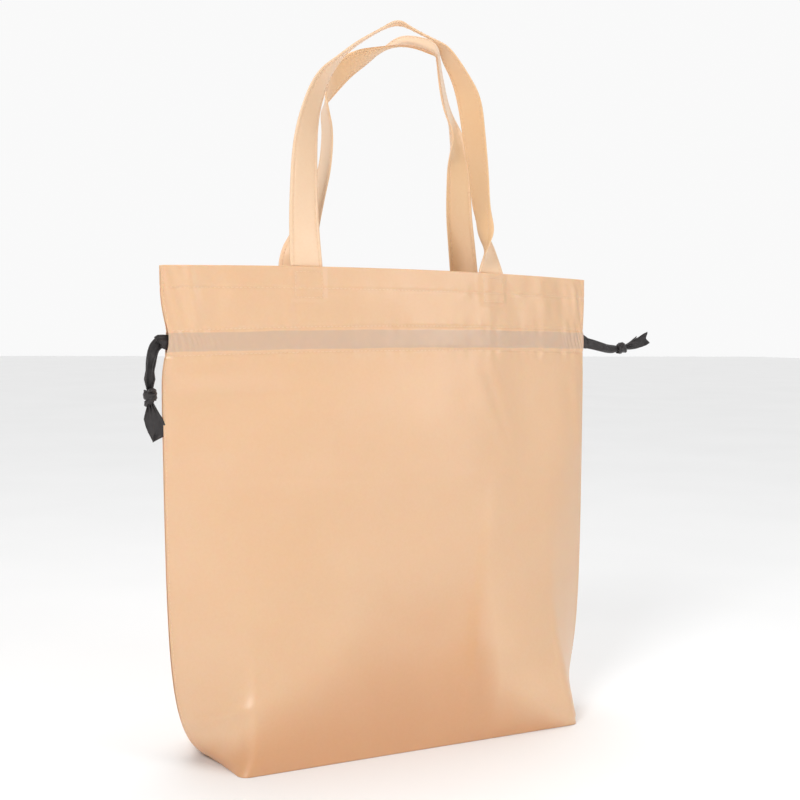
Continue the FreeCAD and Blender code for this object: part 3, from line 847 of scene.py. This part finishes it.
def make_tail(name, side, ribbon):
    strand, line, length = make_strand(name, side, ribbon)
    knot, centre, direction = make_knot(name, line, ribbon)
    ends = [make_end(name, i, centre, direction, ribbon) for i in (0, 1)]
    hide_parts(name + "_ribbon_ends")
    make_neck(name, side, line, ribbon)


RIBBON_MATERIAL = ribbon_material()
for side_name, side_sign in SIDES.items():
    make_tail(side_name, side_sign, RIBBON_MATERIAL)

# ---- bag cloth ----

CLOTH_MATERIAL = cloth_material("nonwoven_cloth", CLOTH_LIGHT, CLOTH_DARK, band=True)
INNER_MATERIAL = cloth_material("nonwoven_inside", CLOTH_LIGHT, CLOTH_DARK)
# The inside colour is painted shade for the strap's face turned from the light.
STRAP_MATERIAL = cloth_material("nonwoven_strap", srgb(244, 210, 175), srgb(241, 202, 163),
                                inside=(0.93, 0.86, 0.72), glow=0.05, depth=0.6 * MM, relief=0.25)
THREAD_MATERIAL = thread_material()
BOTTOM_ROUND = 1.2 * MM


def panel_profile():
    """Height, offset and share inside, going up the outside, over the rim and down its facing."""
    low = np.concatenate([np.linspace(0.3 * MM, BOTTOM_ROUND, 7), np.linspace(4 * MM, 40 * MM, 22)])
    middle = np.linspace(42 * MM, CHANNEL_LOW - 3 * MM, 130)
    channel = np.linspace(CHANNEL_LOW - 2 * MM, CHANNEL_HIGH + 2 * MM, 40)
    top = np.linspace(CHANNEL_HIGH + 4 * MM, HEIGHT - FOLD / 2, 30)
    heights = np.concatenate([low, middle, channel, top])
    drop = np.maximum(BOTTOM_ROUND - heights, 0)
    offsets = -(BOTTOM_ROUND - np.sqrt(BOTTOM_ROUND ** 2 - drop ** 2))
    turn = np.linspace(0, PI, 7)[1:-1]
    fold_heights = HEIGHT - FOLD / 2 + FOLD / 2 * np.sin(turn)
    fold_offsets = -FOLD / 2 + FOLD / 2 * np.cos(turn)
    inner_heights = np.linspace(HEIGHT - FOLD / 2, CHANNEL_LOW, 50)
    inner_offsets = -FOLD - 0.75 * MM / (1 + np.exp((inner_heights - CHANNEL_HIGH) / (0.8 * MM)))
    return (np.concatenate([heights, fold_heights, inner_heights]),
            np.concatenate([offsets, fold_offsets, inner_offsets]),
            np.concatenate([np.zeros(len(heights)), np.linspace(0, 1, len(turn)),
                            np.ones(len(inner_heights))]))


def make_panel(name, face):
    """One wall of the bag, from its foot up over the rim to the end of the turned-in hem."""
    heights, offsets, inside = panel_profile()
    tangent = normalised(np.stack([np.gradient(heights), np.gradient(offsets)], -1))
    even = np.linspace(-1, 1, 291)
    u = 0.35 * even + 0.65 * np.sin(even * PI / 2)
    layers = []
    for sign in (1, -1):
        z = heights - sign * tangent[:, 1] * CLOTH / 2
        offset = offsets + sign * tangent[:, 0] * CLOTH / 2
        scaled = u[None, :] * (1 - 0.022 * inside[:, None])
        layers.append(wall(face, scaled, np.maximum(z, 0.05 * MM)[:, None], offset[:, None]))
    panel = closed_sheet(name + "_bag_cloth", layers[0], layers[1], CLOTH_MATERIAL, flip=face > 0)
    fit(panel, "bag", "bag_cloth", name + "_panel", name + "_hem_facing", name + "_casing")


def make_base():
    """Floor of the bag, joined to the foot of both walls."""
    u = np.linspace(-1, 1, 161)
    edges = [wall(face, u, 0.3 * MM, -BOTTOM_ROUND + 0.2 * MM) for face in (FRONT, BACK)]
    t = np.linspace(0, 1, 41)[:, None, None]
    middle = edges[0][None] * (1 - t) + edges[1][None] * t
    swell = np.sin(PI * t[..., 0]) * (1 - u[None] ** 8)
    rise = 0.5 * MM * swell * (0.8 + 0.5 * waves(middle[..., 0], middle[..., 1], 41, 6, 12, 40))
    top, bottom = middle.copy(), middle.copy()
    bottom[..., 2] = 0.1 * MM + np.maximum(rise, 0)
    top[..., 2] = bottom[..., 2] + CLOTH
    base = closed_sheet("base_bag_cloth", top, bottom, INNER_MATERIAL)
    fit(base, "bag", "bag_cloth", "base_panel")


def make_side_seam(name, side):
    """Seam allowance inside the bag, split where the drawstring comes out."""
    shift = np.array([0, 0.55 * MM, 0])
    parts = (("lower", 2.6 * MM, CHANNEL_LOW, [name + "_side_seam"]),
             ("upper", CHANNEL_HIGH, HEIGHT - 1 * MM, []))
    for label, z0, z1, nodes in parts:
        z = np.linspace(z0, z1, max(12, int((z1 - z0) / (3 * MM))))[:, None]
        inset = np.linspace(0.4, 9.0, 9)[None, :] * MM
        edge = wall_middle(FRONT, np.full_like(z, side), z)[0]
        wave = 0.5 * MM * np.sin(z / (11 * MM)) * (inset / (9 * MM)) ** 2
        centre = np.stack([edge - side * inset + 0 * z, wave, z + 0 * inset], -1)
        seam = closed_sheet("%s_seam_allowance_%s" % (name, label), centre + shift, centre - shift,
                            INNER_MATERIAL, flip=side < 0)
        fit(seam, "bag", "bag_cloth", *nodes)


def make_corner_seam(name, side):
    """Allowance of the boxed corner, lying on the floor of the bag."""
    low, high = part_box(name + "_corner_seam")
    x = np.linspace(low.x, high.x, 9)[None, :]
    y = np.linspace(low.y, high.y, 46)[:, None]
    z = 1.5 * MM + 0.4 * MM * waves(x, y, 51 + side, 5, 30, 90)
    middle = np.stack([x + 0 * y, y + 0 * x, z], -1)
    up = np.array([0, 0, 0.45 * MM])
    seam = closed_sheet(name + "_corner_allowance", middle + up, middle - up, INNER_MATERIAL)
    fit(seam, "bag", "bag_cloth", name + "_corner_seam")


def make_runs(name, face):
    """The two ribbons that lie in the channel of one face."""
    for index, owner in enumerate(("left", "right")):
        u = np.linspace(-0.985, 0.985, 161)[None, :]
        level = np.linspace(RIBBON_LOW, RIBBON_HIGH, 9)[:, None] + band_level(u * RIM_HALF) - RIBBON_LEVEL
        offset = (-0.42 - 0.28 * index) * MM
        run = closed_sheet("%s_ribbon_in_%s_channel" % (owner, name), wall(face, u, level, offset),
                           wall(face, u, level, offset - 0.16 * MM), RIBBON_MATERIAL, flip=face > 0)
        fit(run, "bag", "ribbon", "%s_drawstring_%s_run" % (owner, name))


for face_name, face_sign in FACES.items():
    make_panel(face_name, face_sign)
    make_runs(face_name, face_sign)
make_base()
for side_name, side_sign in SIDES.items():
    make_side_seam(side_name, side_sign)
    make_corner_seam(side_name, side_sign)

# ---- stitches ----


def stitch_points(points, normals, pitch, share=0.72, radius=0.22 * MM):
    """Short bowed threads along a line: each rises from the cloth and dips back in."""
    lengths = run_lengths(points)
    count = max(1, int(lengths[-1] / pitch))
    steps = np.linspace(-0.5, 0.5, 6)
    at = ((np.arange(count) + 0.5)[:, None] + steps[None] * share) * lengths[-1] / count
    centre = read_off(at, lengths, points)
    normal = normalised(read_off(at, lengths, normals))
    bow = np.cos(steps * PI * 0.96) ** 0.5
    centre = centre + normal * ((bow - 0.55) * radius * 1.5)[None, :, None]
    tangent = normalised(np.gradient(centre, axis=1))
    side = normalised(np.cross(tangent, normal))
    over = np.cross(side, tangent)
    theta = np.linspace(0, 2 * PI, 7)[:-1]
    thick = radius * (0.45 + 0.55 * bow)[None, :, None, None]
    return (centre[:, :, None] + thick * np.cos(theta)[None, None, :, None] * side[:, :, None]
            + thick * np.sin(theta)[None, None, :, None] * over[:, :, None])


def make_stitches(name, lines, pitch=3.4 * MM):
    """One piece for all the stitches along these (points, normals) lines."""
    points, faces, start = [], [], 0
    for line, normals in lines:
        for ring in stitch_points(line, normals, pitch):
            rows, columns = ring.shape[:2]
            points.append(ring.reshape(-1, 3))
            faces += capped_faces(rows, columns, start)
            start += rows * columns
    return make_mesh(name, np.concatenate(points), faces, THREAD_MATERIAL)


def wall_line(face, u, z):
    """Line on the outside of the cloth, with its outward normals."""
    u, z = np.broadcast_arrays(np.asarray(u, float), np.asarray(z, float))
    points = wall(face, u, z, CLOTH / 2)
    return points, normalised(wall(face, u, z, CLOTH / 2 + 2 * MM) - points)


def make_bag_stitches(name, face):
    u = np.linspace(-0.985, 0.985, 500)
    hem = make_stitches(name + "_hem_stitches", [wall_line(face, u, HEM_LEVEL)])
    sag = band_level(u * RIM_HALF) - RIBBON_LEVEL
    rows = [wall_line(face, u, level + sag) for level in STITCH_LEVELS]
    channel = make_stitches(name + "_channel_stitches", rows)
    boxes = []
    half = STRAP_WIDTH / 2 - STRAP_STITCH_INSET
    up = np.linspace(HEIGHT - ANCHOR_DEPTH + 2.5 * MM, HEIGHT - 4 * MM, 40)
    for foot in STRAP_FEET[face]:
        across = np.linspace(foot - half, foot + half, 40) / RIM_HALF
        boxes += [wall_line(face, across, level) for level in (up[0], up[-1])]
        boxes += [wall_line(face, (foot + s * half) / RIM_HALF, up) for s in (-1, 1)]
    ends = make_stitches(name + "_strap_end_stitches", boxes, 3.0 * MM)
    for piece, kind in ((hem, "hem"), (channel, "casing"), (ends, "end")):
        fit(piece, "bag", "thread", "%s_%s_stitching" % (name, kind))


def make_side_stitches(name, side):
    lines = []
    for z0, z1 in ((8 * MM, CHANNEL_LOW), (CHANNEL_HIGH, HEIGHT - 2 * MM)):
        z = np.linspace(z0, z1, 200)
        for face in (FRONT, BACK):
            points = wall(face, np.full_like(z, side * 0.992), z, CLOTH / 2)
            normals = np.tile([side * 0.5, face * 0.86, 0.0], (len(z), 1))
            lines.append((points, normals))
    seam = make_stitches(name + "_side_stitches", lines)
    fit(seam, "bag", "thread", name + "_side_stitching")


for face_name, face_sign in FACES.items():
    make_bag_stitches(face_name, face_sign)
for side_name, side_sign in SIDES.items():
    make_side_stitches(side_name, side_sign)

# ---- handles ----

STRAP_SAMPLES = 420
# Where a strap turns edge-on it is cupped: (distance from its right end, spread, depth).
STRAP_CUPS = {"front": (62 * MM, 17 * MM, 8 * MM), "back": (146 * MM, 15 * MM, -6 * MM)}
# Distance from its right end where a strap shows its other face, and where the painted shade passes to that
# face.
STRAP_TURNS = {"front": 266 * MM, "back": 150 * MM}


def strap_poles(stations):
    """Left and right edge poles of a strap, as the CAD model has them."""
    centres = np.array([s[:3] for s in stations], float) * MM
    centres[[0, -1], 2] = HEIGHT + 0.5 * MM
    tangents = np.empty_like(centres)
    tangents[1:-1] = centres[2:] - centres[:-2]
    tangents[0], tangents[-1] = (0, 0, 1), (0, 0, -1)
    tangents = normalised(tangents)
    depth = normalised(DEPTH_AXIS - tangents * tangents[:, 1:2])
    across = np.cross(tangents, depth)
    twist = np.radians([s[3] for s in stations])[:, None]
    width = across * np.cos(twist) + depth * np.sin(twist)
    return centres, width * STRAP_WIDTH / 2


def foot_sections(face, foot_x, width_sign, descending):
    """Centres and half widths of the strap's sewn end, inside the hem."""
    z = np.linspace(HEIGHT - ANCHOR_DEPTH, HEIGHT - 1 * MM, 16)
    if descending:
        z = z[::-1]
    u = np.full_like(z, foot_x / RIM_HALF)
    centres = wall(face, u, z, -STRAP_OFFSET)
    ahead = wall(face, u + 0.01, z, -STRAP_OFFSET)
    return centres, normalised(ahead - centres) * STRAP_WIDTH / 2 * width_sign


def strap_line(name, face):
    """Centres and half-width vectors along the whole strap, with both sewn ends."""
    stations = STRAPS[name]
    centres, halves = strap_poles(stations)
    weights = spline_weights(len(stations), STRAP_SAMPLES)
    middle, half = weights @ centres, weights @ halves
    first = foot_sections(face, centres[0, 0], np.sign(halves[0, 0]), False)
    last = foot_sections(face, centres[-1, 0], np.sign(halves[-1, 0]), True)
    centres = np.vstack([first[0], middle, last[0]])
    halves = np.vstack([first[1], half, last[1]])
    return centres, normalised(halves) * STRAP_WIDTH / 2


def strap_surface(centres, halves, across, height):
    """Points at a share across the strap (-1 to 1) and a height over its middle, in metres."""
    tangent = normalised(np.gradient(centres, axis=0))
    normal = normalised(np.cross(tangent, halves))
    return centres + halves * across + normal * height


def strap_wave(name, length, across):
    """Unevenness of a strap: soft dents, puckers along its sewn edges and its cupped place."""
    x = across * STRAP_WIDTH / 2
    dents = 0.35 * MM * waves(length, x, 61 + FACES[name], 6, 12, 40)
    pucker = 0.10 * MM * np.sin(length * 2 * PI / (6.8 * MM)) * bell(np.abs(x), 11 * MM, 1.2 * MM)
    place, spread, depth = STRAP_CUPS[name]
    cup = depth * bell(length.max() - length, place, spread) * (0.5 - across ** 2)
    return dents + pucker + cup


def paint_strap_face_shade(strap, name, length, columns):
    """Mark the strap's face that carries painted shade, which is the other face beyond its turning place."""
    turned = 1 / (1 + np.exp(np.clip((length.max() - length - STRAP_TURNS[name]) / (6 * MM), -40, 40)))
    upper = np.arange(columns) < columns // 2
    share = np.where(upper[None, :], turned[:, None], 1 - turned[:, None]).ravel()
    share = np.concatenate([share, [0.5, 0.5]])
    marks = strap.data.attributes.new(STRAP_SHADE_SHARE, "FLOAT", "POINT")
    marks.data.foreach_set("value", share)


def make_handle(name, face):
    centres, halves = strap_line(name, face)
    length = run_lengths(centres)
    theta = np.linspace(0, 2 * PI, 64, endpoint=False)
    across, thick = boxy(np.cos(theta), 0.55), boxy(np.sin(theta), 0.16)
    groove = 1 - 0.28 * bell(np.abs(across) * STRAP_WIDTH / 2, 11 * MM, 0.8 * MM)
    puff = 1 - 0.25 * bell(np.abs(across), 1.0, 0.05)
    height = thick * STRAP / 2 * groove * puff
    lift = strap_wave(name, length[:, None], across[None, :])
    rings = strap_surface(centres[:, None], halves[:, None], across[None, :, None],
                          (height[None, :] + lift)[..., None])
    strap = closed_tube(name + "_strap", rings, STRAP_MATERIAL)
    paint_strap_face_shade(strap, name, length, len(theta))
    blend_handle(strap)
    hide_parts(name + "_handle", name + "_handle_left_end", name + "_handle_right_end")
    make_strap_stitches(name, centres, halves, length)


def blend_handle(piece):
    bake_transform(piece)


def make_strap_stitches(name, centres, halves, length):
    """Two rows on each side of the strap, 3 mm in from its edges."""
    lines = []
    edge = 1 - STRAP_STITCH_INSET / (STRAP_WIDTH / 2)
    for share in (-edge, edge):
        wave = strap_wave(name, length, share)
        for sign in (1, -1):
            height = (sign * STRAP / 2 * 0.74 + wave)[:, None]
            points = strap_surface(centres, halves, share, height)
            outside = strap_surface(centres, halves, share, height + sign * MM)
            lines.append((points, normalised(outside - points)))
    stitches = make_stitches(name + "_strap_stitches", lines)
    blend_handle(stitches)
    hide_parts(name + "_handle_stitching")


for face_name, face_sign in FACES.items():
    make_handle(face_name, face_sign)

# ---- floor and light ----


def make_floor():
    n = Nodes("pale_floor")
    tone = n.ramp(n.noise(3.0, 2.0), [(0.3, (0.86, 0.86, 0.86)), (0.7, (0.88, 0.88, 0.88))])
    n.set(Base_Color=tone, Roughness=0.6)
    size = 12.0
    corners = [(-size, -size, 0), (size, -size, 0), (size, size, 0), (-size, size, 0)]
    floor = make_mesh("floor", corners, [(0, 1, 2, 3)], n.material, smooth=False)


LIGHT_TARGET = Vector((0, 0, 0.3))
BACKDROP = (0.483, 0.875, 0.0)


def make_area_light(name, place, size, power):
    data = bpy.data.lights.new(name, "AREA")
    data.shape = "RECTANGLE"
    data.size, data.size_y = size
    data.energy = power
    light = bpy.data.objects.new(name, data)
    light.location = place
    light.rotation_mode = "QUATERNION"
    light.rotation_quaternion = (LIGHT_TARGET - Vector(place)).to_track_quat("-Z", "Y")
    bpy.context.scene.collection.objects.link(light)


def make_sun(name, lean, strength, angle):
    """Very soft overhead light, which reaches the far floor as well."""
    data = bpy.data.lights.new(name, "SUN")
    data.energy = strength
    data.angle = math.radians(angle)
    light = bpy.data.objects.new(name, data)
    light.rotation_euler = [math.radians(a) for a in lean]
    light.visible_glossy = False
    bpy.context.scene.collection.objects.link(light)


def make_world():
    """Studio with a white backdrop beyond the bag and a dimmer room in front of it."""
    world = bpy.data.worlds.new("studio")
    world.use_nodes = True
    tree = world.node_tree
    background = tree.nodes["Background"]
    background.inputs["Color"].default_value = (1, 1, 1, 1)
    coordinates = tree.nodes.new("ShaderNodeTexCoord")
    facing = tree.nodes.new("ShaderNodeVectorMath")
    facing.operation = "DOT_PRODUCT"
    facing.inputs[1].default_value = BACKDROP
    tree.links.new(coordinates.outputs["Generated"], facing.inputs[0])
    strength = eased(tree, facing.outputs["Value"], 0.40, 0.86, 0.30, 0.95)
    tree.links.new(strength, background.inputs["Strength"])
    bpy.context.scene.world = world


make_floor()
make_world()
make_area_light("key", (-1.5, -1.2, 1.5), (0.6, 0.6), 24)
make_area_light("front", (1.15, -1.5, 0.95), (0.6, 0.9), 8)
make_sun("overhead", (-8, 6, 0), 1.75, 50)
bpy.context.scene.view_settings.view_transform = "Standard"
